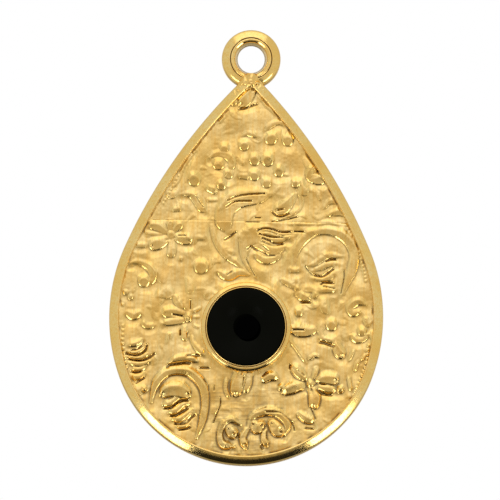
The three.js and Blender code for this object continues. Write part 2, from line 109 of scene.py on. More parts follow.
# ---------------------------------------------------------------- relief drawing
# Raised lines: points (x, z, half width) of the middle line.
STROKES = [
    # tip
    [(0.2, -2.9, 0.35), (0.0, -3.3, 0.4), (-0.4, -3.8, 0.5), (-0.8, -4.25, 0.4)],
    [(-0.4, -4.5, 0.15), (0.5, -4.1, 0.15)],
    [(1.5, -6.6, 0.18), (2.0, -6.1, 0.18), (2.7, -5.85, 0.18), (3.1, -6.1, 0.18)],
    [(-0.7, -7.15, 0.15), (-0.3, -6.95, 0.15), (0, -7.0, 0.15), (0.6, -7.2, 0.15)],
    # upper scrolls
    [(-3.6, -9.2, 0.15), (-2.9, -8.85, 0.22), (-2.1, -9.0, 0.28), (-1.6, -9.6, 0.3), (-1.75, -10.4, 0.3)],
    [(-6.2, -12.6, 0.1), (-5.3, -12.7, 0.2), (-4.7, -13.2, 0.35), (-4.2, -13.9, 0.35), (-3.9, -14.1, 0.2)],
    [(-6.9, -14.1, 0.15), (-6.2, -14.0, 0.15)],
    [(-3.8, -12.0, 0.2), (-3.0, -12.35, 0.25)],
    [(-3.8, -13.1, 0.12), (-2.9, -13.1, 0.12)],
    [(-1.1, -9.2, 0.15), (-0.5, -9.8, 0.15)],
    [(-0.9, -10.9, 0.15), (-0.1, -10.95, 0.2)],
    [(3.1, -10.6, 0.1), (3.6, -10.7, 0.1)],
    # acanthus bract
    [
        (1.9, -12.5, 0.5), (0.5, -12.75, 0.65), (-1.0, -13.0, 0.8), (-2.0, -13.9, 0.8),
        (-2.2, -15.0, 0.75), (-1.8, -15.9, 0.6),
    ],
    # right of the bract
    [(4.4, -12.3, 0.1), (3.9, -13.1, 0.3), (3.1, -13.8, 0.5), (2.5, -14.0, 0.4)],
    [(4.4, -12.0, 0.1), (4.85, -12.9, 0.15), (4.7, -13.7, 0.15), (4.0, -14.25, 0.15), (3.2, -14.6, 0.12)],
    [(6.3, -9.9, 0.2), (5.6, -10.6, 0.4), (6.2, -11.0, 0.45), (6.9, -11.1, 0.3)],
    [(6.3, -12.3, 0.12), (6.6, -12.9, 0.12)],
    [(6.9, -13.7, 0.12), (7.4, -13.1, 0.18), (8.1, -13.1, 0.15)],
    [(7.1, -14.4, 0.12), (7.7, -14.1, 0.15), (8.4, -14.0, 0.12)],
    # first flower
    [(-7.4, -16.2, 0.2), (-8.2, -15.7, 0.35), (-8.9, -15.6, 0.25)],
    [(-7.6, -16.4, 0.15), (-9.3, -16.2, 0.15)],
    [(-7.4, -16.8, 0.3), (-8.2, -17.2, 0.5), (-8.7, -17.4, 0.4)],
    [(-7.0, -16.8, 0.2), (-6.9, -17.6, 0.35), (-7.0, -18.3, 0.35)],
    [(-6.7, -16.6, 0.25), (-5.8, -16.8, 0.4), (-5.3, -16.9, 0.3)],
    [(-6.8, -16.0, 0.2), (-6.2, -15.5, 0.3)],
    [(-7.1, -15.9, 0.2), (-7.1, -15.3, 0.3)],
    [(-4.9, -17.1, 0.12), (-4.7, -16.7, 0.14), (-4.3, -16.65, 0.14), (-3.95, -16.7, 0.12)],
    [(-10.1, -17.4, 0.17), (-9.3, -17.4, 0.17)],
    [(-10.7, -19.0, 0.1), (-9.9, -18.95, 0.18), (-9.0, -19.4, 0.25), (-8.6, -20.2, 0.3), (-8.9, -21.0, 0.25)],
    # palmette under the seam
    [
        (-3.2, -14.9, 0.2), (-3.2, -15.8, 0.22), (-2.8, -17.0, 0.25), (-2.0, -18.1, 0.25),
        (-0.9, -18.9, 0.2), (0, -19.6, 0.15),
    ],
    [(-0.3, -15.9, 0.35), (-0.4, -17.0, 0.35), (-0.3, -18.2, 0.25), (0.1, -19.1, 0.18), (0.8, -20.0, 0.12)],
    [
        (-0.1, -18.3, 0.25), (-0.2, -17.3, 0.5), (0.4, -16.3, 0.8), (1.6, -16.3, 0.75),
        (2.9, -16.5, 0.45), (3.8, -16.4, 0.2),
    ],
    [(0.6, -16.9, 0.4), (1.7, -17.5, 0.5), (2.7, -17.6, 0.35), (3.4, -17.2, 0.15)],
    [(0.7, -18.0, 0.3), (1.7, -18.5, 0.36), (2.6, -18.3, 0.25), (3.1, -17.9, 0.12)],
    [(-2.7, -19.6, 0.15), (-2.1, -20.0, 0.3), (-1.5, -20.1, 0.3), (-0.7, -19.7, 0.25), (0.2, -19.9, 0.2)],
    [(-1.9, -17.5, 0.12), (-1.8, -17.8, 0.18), (-1.3, -18.0, 0.15)],
    # big round scroll on the right
    [
        (4.35, -18.6, 0.15), (4.5, -17.6, 0.35), (5.0, -16.7, 0.35), (6.0, -15.95, 0.3),
        (7.2, -15.75, 0.3), (8.4, -16.05, 0.35), (9.3, -16.8, 0.4), (9.75, -17.9, 0.4), (9.6, -19.2, 0.4),
        (9.2, -20.4, 0.3), (8.8, -21.5, 0.2),
    ],
    [(5.6, -18.95, 0.12), (6.2, -18.8, 0.18), (6.9, -18.3, 0.2), (7.6, -18.0, 0.2), (8.6, -18.05, 0.15)],
    [(6.0, -19.4, 0.14), (6.8, -19.1, 0.2), (7.5, -18.8, 0.2), (8.2, -18.7, 0.14)],
    [(6.1, -20.15, 0.14), (7.0, -20.15, 0.2), (7.6, -20.0, 0.2), (7.9, -19.7, 0.14)],
    [(6.7, -21.3, 0.14), (7.4, -21.2, 0.18), (8.0, -21.2, 0.14)],
    [(6.2, -15.3, 0.12), (6.8, -15.05, 0.14), (7.5, -14.95, 0.14), (8.3, -15.2, 0.1)],
    [(7.7, -14.2, 0.15), (8.4, -14.05, 0.25), (9.0, -14.3, 0.15)],
    [(3.6, -15.2, 0.08), (6.0, -15.15, 0.08)],
    [(3.9, -19.4, 0.2), (4.7, -19.4, 0.2)],
    # left of the eye
    [(-10.9, -23.6, 0.2), (-10.3, -23.9, 0.3), (-9.7, -23.6, 0.2)],
    [(-9.5, -24.5, 0.15), (-9.0, -24.8, 0.2), (-8.4, -24.7, 0.15)],
    [(-5.6, -23.7, 0.2), (-6.6, -23.5, 0.4), (-7.5, -23.6, 0.35)],
    [(-5.6, -24.2, 0.2), (-6.6, -24.3, 0.3), (-7.5, -24.5, 0.2)],
    [(-5.8, -23.2, 0.15), (-6.3, -22.6, 0.25), (-6.6, -22.0, 0.2)],
    [(-5.55, -23.2, 0.1), (-5.7, -22.4, 0.15)],
    [(-4.9, -23.4, 0.12), (-4.2, -23.0, 0.12)],
    [(-4.8, -23.85, 0.1), (-4.3, -23.85, 0.1)],
    [(-4.8, -24.6, 0.1), (-4.3, -24.8, 0.1)],
    [(-5.6, -24.6, 0.15), (-5.6, -25.4, 0.25), (-5.5, -25.9, 0.3)],
    [(-5.0, -25.4, 0.12), (-4.8, -26.2, 0.16), (-4.2, -27.0, 0.2), (-3.8, -27.3, 0.2)],
    [(-7.2, -26.3, 0.08), (-7.1, -25.6, 0.1), (-6.9, -25.5, 0.1), (-6.8, -25.9, 0.08)],
    [(-10.6, -26.6, 0.12), (-9.9, -26.4, 0.18), (-9.4, -26.0, 0.12)],
    [(-10.6, -27.15, 0.12), (-9.8, -27.15, 0.16), (-9.3, -26.8, 0.12)],
    [(-10.7, -27.6, 0.12), (-9.7, -27.7, 0.18), (-8.9, -27.35, 0.15)],
    [(-10.5, -28.2, 0.14), (-9.6, -28.25, 0.2), (-8.7, -28.0, 0.12)],
    [(-7.0, -28.1, 0.15), (-6.2, -27.8, 0.25), (-5.2, -27.65, 0.25), (-4.4, -27.9, 0.2)],
    # right of the eye
    [(4.4, -21.4, 0.15), (5.2, -21.9, 0.35), (5.7, -22.0, 0.25)],
    [(4.4, -21.0, 0.12), (3.9, -20.7, 0.2), (3.1, -20.3, 0.15)],
    [(4.2, -20.9, 0.08), (4.2, -20.4, 0.1)],
    [(4.7, -20.9, 0.08), (4.8, -20.4, 0.1)],
    [(4.1, -24.9, 0.2), (4.9, -25.0, 0.45), (5.8, -25.0, 0.35), (6.4, -24.8, 0.1)],
    [(4.0, -25.8, 0.1), (4.8, -26.8, 0.13), (5.55, -27.85, 0.13)],
    [(8.1, -26.2, 0.2), (8.5, -26.8, 0.4), (8.8, -27.1, 0.35)],
    [(6.8, -25.6, 0.15), (7.6, -25.8, 0.18), (8.0, -25.95, 0.12)],
    [(10.9, -22.4, 0.2), (10.2, -22.2, 0.25), (9.5, -22.7, 0.3), (9.7, -23.2, 0.3), (10.3, -23.1, 0.25)],
    [(10.9, -23.8, 0.2), (11.1, -24.3, 0.25)],
    [(9.6, -25.3, 0.2), (10.1, -25.7, 0.22), (10.7, -25.6, 0.2), (11.1, -25.2, 0.2)],
    [(9.9, -26.6, 0.1), (9.6, -27.2, 0.12), (9.4, -27.6, 0.1)],
    [(10.4, -27.5, 0.1), (10.1, -28.0, 0.12), (10.0, -28.5, 0.1)],
    [(11.0, -27.0, 0.1), (10.6, -27.5, 0.1)],
    [(5.8, -27.5, 0.12), (6.3, -27.2, 0.14), (6.7, -27.3, 0.1)],
    # lower left scroll
    [(-10.3, -28.7, 0.12), (-9.5, -28.7, 0.16), (-9.1, -28.4, 0.12)],
    [(-10.2, -29.5, 0.18), (-9.6, -29.4, 0.22), (-9.2, -29.1, 0.18)],
    [
        (-8.5, -31.7, 0.2), (-8.4, -31.0, 0.28), (-8.2, -30.3, 0.3), (-7.8, -29.6, 0.32),
        (-7.1, -29.0, 0.32), (-6.2, -28.8, 0.32), (-5.2, -28.95, 0.32), (-4.4, -29.5, 0.35),
        (-3.8, -30.4, 0.35), (-3.6, -31.5, 0.32), (-3.7, -32.8, 0.3), (-4.0, -34.0, 0.28),
        (-4.3, -34.9, 0.2),
    ],
    [(-7.6, -31.0, 0.35), (-6.8, -30.6, 0.55), (-5.9, -30.6, 0.6), (-5.1, -31.0, 0.4)],
    [(-7.4, -31.9, 0.2), (-6.7, -31.75, 0.24), (-6.0, -31.2, 0.2), (-5.2, -31.2, 0.15)],
    [(-6.9, -32.6, 0.2), (-6.2, -32.4, 0.24), (-5.6, -31.9, 0.2), (-5.0, -31.7, 0.15)],
    [(-6.5, -33.25, 0.2), (-5.8, -33.2, 0.24), (-5.2, -32.75, 0.2), (-4.8, -32.3, 0.15)],
    [(-6.1, -33.85, 0.15), (-5.5, -33.85, 0.18), (-5.0, -33.5, 0.15)],
    # tongues under the eye
    [(-0.3, -28.8, 0.5), (-0.6, -29.7, 0.6), (-0.8, -30.5, 0.5), (-0.8, -30.9, 0.25)],
    [(0.4, -28.9, 0.25), (0.3, -29.8, 0.3), (0.0, -30.7, 0.2)],
    [(1.6, -29.6, 0.2), (2.3, -29.2, 0.3), (2.9, -29.3, 0.2)],
    [(-1.7, -29.4, 0.12), (-1.75, -30.4, 0.15), (-1.4, -31.2, 0.12)],
    [(-1.4, -34.0, 0.35), (-1.1, -34.4, 0.45), (-0.9, -34.5, 0.3)],
    [
        (-0.35, -33.6, 0.16), (-1.2, -33.25, 0.22), (-1.9, -33.7, 0.22), (-2.2, -34.6, 0.24),
        (-1.9, -35.5, 0.28), (-0.9, -35.6, 0.24),
    ],
    [(0.45, -32.9, 0.1), (0.4, -33.8, 0.16), (-0.1, -34.8, 0.28), (0.2, -35.7, 0.36)],
    [(1.9, -33.9, 0.16), (1.8, -34.8, 0.25), (2.1, -35.5, 0.25)],
    # heart
    [
        (0.5, -34.0, 0.16), (0.8, -32.9, 0.24), (2.1, -32.4, 0.3), (3.3, -32.75, 0.32),
        (3.95, -33.6, 0.3), (3.7, -34.4, 0.26),
    ],
    [(0.8, -33.5, 0.3), (1.15, -33.9, 0.48), (1.6, -33.6, 0.35)],
    [(2.5, -33.4, 0.36), (3.0, -34.0, 0.56), (3.4, -34.2, 0.4)],
    # lower flower
    [(5.6, -29.5, 0.2), (4.9, -28.9, 0.35), (4.4, -28.4, 0.3)],
    [(6.2, -29.4, 0.12), (6.4, -28.8, 0.2), (6.5, -28.3, 0.15)],
    [(6.5, -29.6, 0.25), (7.4, -29.3, 0.45), (8.3, -29.4, 0.45)],
    [(6.6, -30.0, 0.15), (7.5, -30.2, 0.3), (8.2, -30.3, 0.2)],
    [(6.1, -30.3, 0.3), (6.35, -31.0, 0.5), (6.3, -31.8, 0.4)],
    [(5.4, -30.0, 0.2), (4.7, -30.1, 0.4), (4.2, -30.3, 0.4), (3.5, -30.6, 0.25)],
    [(9.4, -29.0, 0.12), (9.6, -29.9, 0.14), (9.7, -30.3, 0.1)],
    [(4.9, -32.5, 0.2), (5.6, -33.0, 0.3), (6.3, -33.2, 0.2)],
    # border line along the upper flanks
    [(0.6, -3.4, 0.08), (1.1, -3.9, 0.1), (1.4, -4.3, 0.1), (2.0, -4.8, 0.1), (2.6, -5.4, 0.08)],
    [(-2.3, -5.4, 0.08), (-2.8, -6.0, 0.1)],
    [(-5.0, -8.7, 0.08), (-5.9, -10.0, 0.1), (-6.5, -11.5, 0.1), (-7.3, -12.2, 0.08)],
]

# Round beads: (x, z, radius).
BEADS = [
    (-1.5, -4.2, 0.2), (1.95, -7.4, 0.5), (3.5, -7.5, 0.48), (-0.5, -8.1, 0.4), (-2.3, -8.4, 0.35),
    (-2.8, -9.8, 0.48), (-1.85, -10.75, 0.35), (-5.0, -11.3, 0.52), (-2.5, -11.8, 0.35),
    (0.5, -9.4, 0.42), (1.7, -9.4, 0.48), (2.75, -10.4, 0.42), (0.5, -10.8, 0.42), (1.6, -11.5, 0.38),
    (4.3, -11.5, 0.33), (-7.0, -16.4, 0.3), (-9.4, -20.7, 0.48), (-4.2, -19.3, 0.58), (-6.1, -18.6, 0.15),
    (-5.3, -24.0, 0.3), (-11.05, -21.8, 0.18), (-10.6, -22.2, 0.2), (-11.3, -22.9, 0.1),
    (4.6, -21.2, 0.22), (6.2, -21.75, 0.2), (4.8, -23.3, 0.3), (7.8, -24.4, 0.45), (10.6, -25.0, 0.33),
    (3.3, -30.2, 0.22), (6.0, -29.9, 0.28), (8.7, -30.3, 0.25), (-9.15, -30.6, 0.2),
]

# Engraved lines: by (half width, depth), the points (x, z) of each.
CREASES = {
    (0.07, 0.08): [
        [(0.9, -15.9), (2.0, -15.9), (3.0, -16.25), (3.9, -16.1)],
        [(0.6, -17.5), (1.5, -18.1), (2.5, -18.1)],
    ],
    (0.08, 0.1): [
        [(1.3, -16.8), (2.2, -17.15), (3.2, -17.0)],
    ],
    (0.08, 0.12): [
        [(-1.0, -4.7), (-0.4, -4.6), (0.1, -4.4), (0.6, -4.2)],
    ],
    (0.07, 0.1): [
        [(-4.8, -12.75), (-4.5, -13.2), (-4.1, -13.7)],
    ],
    (0.07, 0.12): [
        [(1.5, -12.4), (0.2, -12.5), (-1, -12.7), (-1.9, -13.1)],
        [(0.3, -13.1), (-1.2, -13.2), (-2, -13.7)], [(2.7, -13.9), (3.2, -13.8)],
        [(-6.3, -16.4), (-5.7, -16.4)], [(1.4, -17.2), (1.9, -17.6)],
        [(7.2, -18.5), (7.7, -18.35), (8.1, -18.35)], [(-6.7, -23.65), (-5.8, -23.8)],
        [(-5.1, -22.3), (-5.1, -23.1)], [(4.3, -24.85), (5.3, -24.85)], [(4.05, -28.0), (4.05, -28.4)],
        [(4.8, -28.5), (5.4, -29.0)], [(6.6, -29.7), (7.3, -29.75)], [(6.1, -32.0), (6.5, -32.9)],
        [(5.6, -33.8), (6.3, -33.85)],
    ],
    (0.08, 0.14): [
        [(-1.1, -16.0), (-1.6, -16.4), (-2.1, -16.7)],
        [(2.2, -14.1), (2.6, -14.4), (3.1, -14.45), (3.8, -14.2)],
        [(1.3, -16.5), (2.0, -16.75), (2.4, -16.95), (3.2, -16.95)],
        [(0, -17.5), (0.3, -17.3), (0.8, -17.5), (1.4, -17.8), (1.8, -18.0)],
        [(2.0, -32.4), (3.0, -32.4), (3.6, -32.6), (4.4, -33.4), (4.6, -34)],
    ],
    (0.05, 0.08): [
        [(0.6, -14.65), (1.2, -14.65)], [(2.2, -14.95), (3.7, -14.75)],
    ],
    (0.06, 0.08): [
        [(-0.2, -15.05), (1.0, -15.05)],
    ],
    (0.06, 0.1): [
        [(3.8, -14.7), (4.5, -14.5)], [(-1.8, -19.9), (-1.4, -19.6)],
        [(5.3, -19.0), (5.6, -19.4), (6.0, -19.8)], [(7.0, -20.8), (8.0, -21.0)],
        [(4.2, -15.85), (5.2, -15.85)], [(8.85, -19.3), (8.85, -20.0), (8.6, -21.4)],
        [(-3.3, -30.1), (-3.3, -30.5)], [(-2.8, -30.1), (-2.8, -30.5)],
    ],
    (0.06, 0.12): [
        [(-0.1, -18.4), (0.3, -19.2), (0.7, -19.9)], [(-0.1, -29.2), (-0.2, -30.0), (-0.3, -30.6)],
    ],
    (0.08, 0.16): [
        [(0.9, -15.8), (1.6, -15.6), (2.3, -15.7), (3.0, -15.9), (3.9, -15.9)],
        [(-10.4, -27.0), (-9.9, -26.9), (-9.5, -26.6)], [(-5.9, -34.15), (-5.2, -34.05), (-4.9, -33.9)],
    ],
    (0.07, 0.14): [
        [(1.0, -16.1), (2.0, -16.35), (3.2, -16.4)], [(-6.0, -25.0), (-6.0, -25.5)],
        [(-5.35, -25.3), (-5.35, -25.8)], [(-10.4, -28.95), (-10.0, -29.0), (-9.5, -28.9)],
        [(-9.9, -29.95), (-9.2, -29.5)], [(-2.2, -31.2), (-2.2, -31.8), (-2.5, -32.6), (-2.8, -33.4)],
    ],
    (0.1, 0.18): [
        [(6.2, -19.8), (6.6, -19.9), (7.0, -19.85), (7.85, -19.2)],
    ],
    (0.09, 0.16): [
        [(6.8, -20.6), (7.0, -20.45), (7.9, -20.5)],
    ],
    (0.09, 0.18): [
        [(-10.9, -27.3), (-10.0, -27.45), (-9.4, -27.2), (-9.1, -26.9), (-9.0, -26.5)],
        [(-10.6, -27.8), (-9.6, -27.9), (-8.9, -27.7), (-8.3, -27.3)],
        [(-7.3, -32.25), (-6.7, -32.15), (-6.2, -31.75), (-5.7, -31.5), (-5.2, -31.5)],
        [(-6.7, -32.9), (-6.2, -32.85), (-5.5, -32.4), (-5.2, -32.2)],
        [(-6.3, -33.6), (-5.7, -33.65), (-5.2, -33.5), (-4.9, -33.1), (-4.5, -32.8)],
    ],
    (0.12, 0.16): [
        [(-5.3, -27.4), (-4.3, -27.35)],
        [(-7.1, -28.5), (-6.9, -28.25), (-6.2, -28.1), (-5.5, -28.0), (-5.1, -28.05)],
        [(6.8, -25.95), (7.2, -26.0), (7.6, -26.15), (8.0, -26.3)],
    ],
    (0.08, 0.18): [
        [(-4.1, -28.5), (-3.3, -28.5)],
    ],
    (0.1, 0.14): [
        [(5.0, -22.3), (5.8, -22.3)],
    ],
    (0.2, 0.16): [
        [(-0.7, -34.5), (-0.75, -34.6)], [(1.75, -33.75), (1.75, -33.9)], [(3.35, -33.9), (3.35, -34.05)],
    ],
    (0.14, 0.16): [
        [(0.2, -35.5), (0.3, -35.7)], [(1.6, -35.5), (1.7, -35.7)],
    ],
    (0.09, 0.14): [
        [(6.6, -30.3), (7.1, -30.65), (7.9, -30.75)],
    ],
}

# Rows of tiny beads: radius, spacing, then the points (x, z).
DOTTED = [
    (0.1, 0.34, [(9.0, -15.2), (9.9, -17.0), (10.5, -18.8), (10.9, -20.6)]),
    (0.09, 0.4, [(11.2, -26.2), (11.0, -28.0), (10.4, -29.6), (9.9, -30.8)]),
    (0.08, 0.36, [(-5.1, -8.8), (-6.0, -10.2), (-6.9, -11.9), (-7.8, -13.6)]),
    (0.09, 0.42, [(-11.2, -24.8), (-11.2, -26.6), (-10.8, -28.6)]),
]

RISE = {"per_width": 0.32, "least": 0.04, "most": 0.18}  # height of a raised form
STRUCK = [(-34.0, 1.9), (-29.0, 1.5), (-24.0, 0.78), (-14.0, 0.64)]  # (z, gain): deeper lower down
TAPER = {"share": 0.16, "least": 0.2, "power": 0.5}  # how a line thins at its ends
SKIRT = {"reach": 0.42, "most": 1.3, "inwards": 0.45}  # the soft upper side of a form
EDGE = {"width": 0.12, "least": 0.14, "worn": 1.0}  # the step at its lower side, wider where worn
LEAN = {"stroke": 0.22, "bead": 0.45}  # how much higher a form is at its upper side
MOAT = {"drop": 0.4, "reach": 0.35, "depth": 0.075, "flatten": 0.6, "full_size": 0.3}
SEAM_STEP = {"height": 0.03, "width": 0.12, "fade": 0.8}
# The groove along the rim's inner edge; its last value is painted shade put into the groove as cavity.
RIM_GROOVE = {"at": 0.06, "width": 0.09, "depth": 0.03, "painted_shade": 0.03}
BEZEL_FILLET = {"rise": 0.06, "reach": 0.2}
WALL_PAINTED_SHADE = 0.022  # painted shade on the rim's inner wall, given as cavity
FILLER_AREA = ((-11.5, 11.5), (-36, -4))  # x and z
FILLER = {
    "comma": {"count": 60, "length": (0.8, 1.9), "width": (0.2, 0.5), "rise": (0.03, 0.08), "bend": 3.0},
    "faint": {"count": 150, "length": (0.5, 1.6), "width": (0.08, 0.2), "rise": (0.015, 0.04), "bend": 2.5},
}

# Random fields: size of the features, salt, how much taller than wide they are; layers end with a height
NOISE_CORNER = (-14, -41)
NOISE_SPAN = (30, 44)
GROUND_LAYERS = [(1.1, 0, 1.4, 0.09), (0.4, 1, 2.5, 0.014)]
GRAIN_LAYERS = [(0.2, 2, 1.0, 0.006)]
NECK_LAYERS = [(0.38, 3, 1.0, 0.13), (0.14, 4, 1.0, 0.02)]
BROKEN_NOISE = (0.5, 5)
WEAR_NOISE = (1.3, 6)
CAVITY_BLUR = {"field": 10, "neck": 8}  # passes of the blur that the cavity is measured against


def smooth_line(points, tapered=False):
    """A Catmull-Rom line through the points, sampled every STEP. A tapered one thins at its ends."""
    p = np.array(points, float)
    p = np.vstack([2 * p[0] - p[1], p, 2 * p[-1] - p[-2]])
    samples = []
    for i in range(1, len(p) - 2):
        count = max(2, int(np.hypot(*(p[i + 1] - p[i])[:2]) / STEP))
        t = (np.arange(count) / count)[:, None]
        a, b, c, d = p[i - 1 : i + 3]
        square = 2 * a - 5 * b + 4 * c - d
        cube = 3 * b - a - 3 * c + d
        samples.append(0.5 * (2 * b + (c - a) * t + square * t**2 + cube * t**3))
    line = np.vstack(samples + [p[-2:-1]])
    if tapered:
        share = np.linspace(0, 1, len(line))
        thin = np.clip(np.minimum(share, 1 - share) / TAPER["share"], TAPER["least"], 1)
        line[:, 2] *= thin ** TAPER["power"]
    return line


def near(grid, line, reach):
    """The window of the grid that lies within reach of the line."""
    xs, zs = grid
    i = np.searchsorted(xs, [line[:, 0].min() - reach, line[:, 0].max() + reach])
    j = np.searchsorted(zs, [line[:, 1].min() - reach, line[:, 1].max() + reach])
    return slice(*j), slice(*i)


def across(grid, window, line, widths):
    """Distance and height from the line's nearest point over the half width there, and that width."""
    xs, zs = grid
    dx = xs[window[1]][None, :, None] - line[:, 0]
    dz = zs[window[0]][:, None, None] - line[:, 1]
    ratio = (dx**2 + dz**2) / widths**2
    nearest = ratio.argmin(axis=2)[..., None]
    rise = np.take_along_axis(dz / widths, nearest, axis=2)[..., 0]
    return np.sqrt(np.take_along_axis(ratio, nearest, axis=2)[..., 0]), rise, widths[nearest[..., 0]]


def blurred(height, passes):
    for _ in range(passes):
        for axis in (0, 1):
            height = (np.roll(height, 1, axis) + 2 * height + np.roll(height, -1, axis)) / 4
    return height


def field_noise(grid, size, salt, tall=1.0):
    """Smooth random field in -1..1 with features of that size in mm, the same for every grid."""
    rng = np.random.default_rng(SEED + 10 * salt)
    columns, rows = int(NOISE_SPAN[0] / size) + 3, int(NOISE_SPAN[1] / size / tall) + 3
    coarse = rng.uniform(-1, 1, (rows, columns))
    j = (grid[1] - NOISE_CORNER[1]) / size / tall
    i = (grid[0] - NOISE_CORNER[0]) / size
    j0, i0 = j.astype(int), i.astype(int)
    tj, ti = j - j0, i - i0
    tj = (tj * tj * (3 - 2 * tj))[:, None]
    ti = (ti * ti * (3 - 2 * ti))[None, :]
    a = coarse[np.ix_(j0, i0)]
    b = coarse[np.ix_(j0, i0 + 1)]
    c = coarse[np.ix_(j0 + 1, i0)]
    d = coarse[np.ix_(j0 + 1, i0 + 1)]
    return (a * (1 - ti) + b * ti) * (1 - tj) + (c * (1 - ti) + d * ti) * tj


def layered_noise(grid, layers):
    return sum(height * field_noise(grid, size, salt, tall) for size, salt, tall, height in layers)


def filler_curls():
    """Small leaves and worn curls that fill the ground: (line of (x, z, half width), rise)."""
    rng = np.random.default_rng(SEED + 1)
    curls = []
    for spec in FILLER.values():
        for _ in range(spec["count"]):
            x, z = (rng.uniform(*span) for span in FILLER_AREA)
            length, width, rise = (rng.uniform(*spec[key]) for key in ("length", "width", "rise"))
            t = np.linspace(0, 1, 14)
            turn = rng.uniform(0, 2 * math.pi) + rng.uniform(-1, 1) * spec["bend"] * t
            xs = x + np.cumsum(np.cos(turn)) * length / len(t)
            zs = z + np.cumsum(np.sin(turn)) * length / len(t)
            taper = np.sqrt(1.02 - t) * np.minimum(1, 0.5 + 3 * t)
            curls.append((np.stack([xs, zs, width * taper + 0.02], axis=1), rise))
    return curls


def dotted_beads():
    """Rows of tiny beads beside the rim."""
    beads = []
    for radius, spacing, points in DOTTED:
        line = smooth_line([(x, z, radius) for x, z in points])
        along = np.concatenate([[0], np.cumsum(np.hypot(*np.diff(line[:, :2], axis=0).T))])
        for at in np.arange(0, along[-1], spacing):
            beads.append(tuple(np.interp(at, along, line[:, k]) for k in range(3)))
    return beads


def raised_lines():
    """Every raised form: (line of (x, z, half width), lean)."""
    lines = [(smooth_line(stroke, True), LEAN["stroke"]) for stroke in STROKES]
    for x, z, radius in BEADS + dotted_beads():
        lines.append((np.array([[x, z, radius], [x, z + 0.01, radius]]), LEAN["bead"]))
    return lines


def cap_of(grid, softness, line, rise, lean):
    """Window and height of one raised form.

    Its upper side runs out softly, its top leans down and its lower side is a thin step.
    """
    widest = line[:, 2].max()
    window = near(grid, line, widest + 1.4 * SKIRT["reach"])
    t, up, width = across(grid, window, line, line[:, 2])
    skirt = np.minimum(SKIRT["reach"] / width, SKIRT["most"])
    worn = 1 + EDGE["worn"] * np.clip(softness[window], 0, 1)
    step = np.maximum(EDGE["least"], EDGE["width"] / width) * worn
    high = np.clip(up / np.maximum(t, 0.3), 0, 1)
    outer = 1 + step / 2 + skirt * high
    inner = 1 - step / 2 - SKIRT["inwards"] * high
    fall = np.clip((outer - t) / (outer - inner), 0, 1)
    cap = rise * (width / widest) ** 0.8 * fall * fall * (3 - 2 * fall)
    return window, cap * (1 + lean * np.clip(up, -1, 1))


def struck_deeper(z):
    return np.interp(z, *np.array(STRUCK).T)


def dig_moat(grid, ground, line):
    """Lowers and evens out the ground just below a raised form."""
    size = min(1, line[:, 2].max() / MOAT["full_size"])
    shifted = line - [0, MOAT["drop"] * size, 0]
    reach = shifted[:, 2] + MOAT["reach"]
    window = near(grid, shifted, reach.max())
    t, _, _ = across(grid, window, shifted, reach)
    pull = np.clip(1 - t**2, 0, 1) ** 1.5 * size
    ground[window] = ground[window] * (1 - MOAT["flatten"] * pull) - MOAT["depth"] * pull


def engrave(grid, height):
    """Cuts the creases into the field."""
    for (width, depth), lines in CREASES.items():
        for line in map(smooth_line, lines):
            window = near(grid, line, 2.5 * width)
            t, _, _ = across(grid, window, line, np.full(len(line), width))
            height[window] -= depth * np.exp(-(t**2))


def rim_groove(grid):
    """A broken groove along the rim's inner edge, from 0 to about 1."""
    inside = -drop_distance(*np.meshgrid(*grid)) - RIM_WIDTH - RIM_GROOVE["at"]
    broken = 0.5 + field_noise(grid, *BROKEN_NOISE)
    return broken * np.exp(-((inside / RIM_GROOVE["width"]) ** 2))


def bezel_fillet(grid):
    gx, gz = np.meshgrid(*grid)
    away = np.clip(np.hypot(gx - EYE_X, gz - EYE_Z) - BEZEL_OUTER, 0, None)
    return BEZEL_FILLET["rise"] * np.exp(-((away / BEZEL_FILLET["reach"]) ** 2))


def seam_step(grid):
    """The lower plate stands a little proud just below the seam."""
    below = np.clip(SEAM_Z - grid[1], 0, None)
    step = np.clip(below / SEAM_STEP["width"], 0, 1) * np.exp(-below / SEAM_STEP["fade"])
    return (SEAM_STEP["height"] * step)[:, None]


def relief_height(grid):
    """Height of the embossed field in mm, and how deep each point lies among its neighbours."""
    softness = field_noise(grid, *WEAR_NOISE)
    ground = layered_noise(grid, GROUND_LAYERS)
    for line, rise in filler_curls():
        window, cap = cap_of(grid, softness, line, rise, LEAN["stroke"])
        ground[window] += cap
    raised = np.zeros_like(ground)
    for line, lean in raised_lines():
        dig_moat(grid, ground, line)
        rise = min(RISE["per_width"] * line[:, 2].max() + RISE["least"], RISE["most"])
        window, cap = cap_of(grid, softness, line, rise * struck_deeper(line[:, 1].mean()), lean)
        raised[window] = np.maximum(raised[window], cap)
    height = ground + raised
    engrave(grid, height)
    groove = rim_groove(grid)
    height -= RIM_GROOVE["depth"] * groove
    height += bezel_fillet(grid)
    height += seam_step(grid)
    height += layered_noise(grid, GRAIN_LAYERS)
    # Painted shade: the cavity is deeper in creases, at the foot of raised forms and along the rim's groove,
    # and the gold turns it dark.
    return height, blurred(height, CAVITY_BLUR["field"]) - height + RIM_GROOVE["painted_shade"] * groove


# ---------------------------------------------------------------- outline
def drop_distance(x, z):
    """Signed distance to the drop's outline, negative inside."""
    x = np.abs(x)

    def polar(centre):
        dx, dz = x - centre[0], z - centre[1]
        return np.hypot(dx, dz), np.arctan2(dx, -dz)

    low, low_angle = polar(LOW_CENTRE)
    shoulder, shoulder_angle = polar(SHOULDER_CENTRE)
    flank, _ = polar(FLANK_CENTRE)
    upper = np.where(shoulder_angle <= SHOULDER_END, shoulder - SHOULDER_RADIUS, flank - FLANK_RADIUS)
    return np.where(low_angle <= LOW_END, low - LOW_RADIUS, upper)


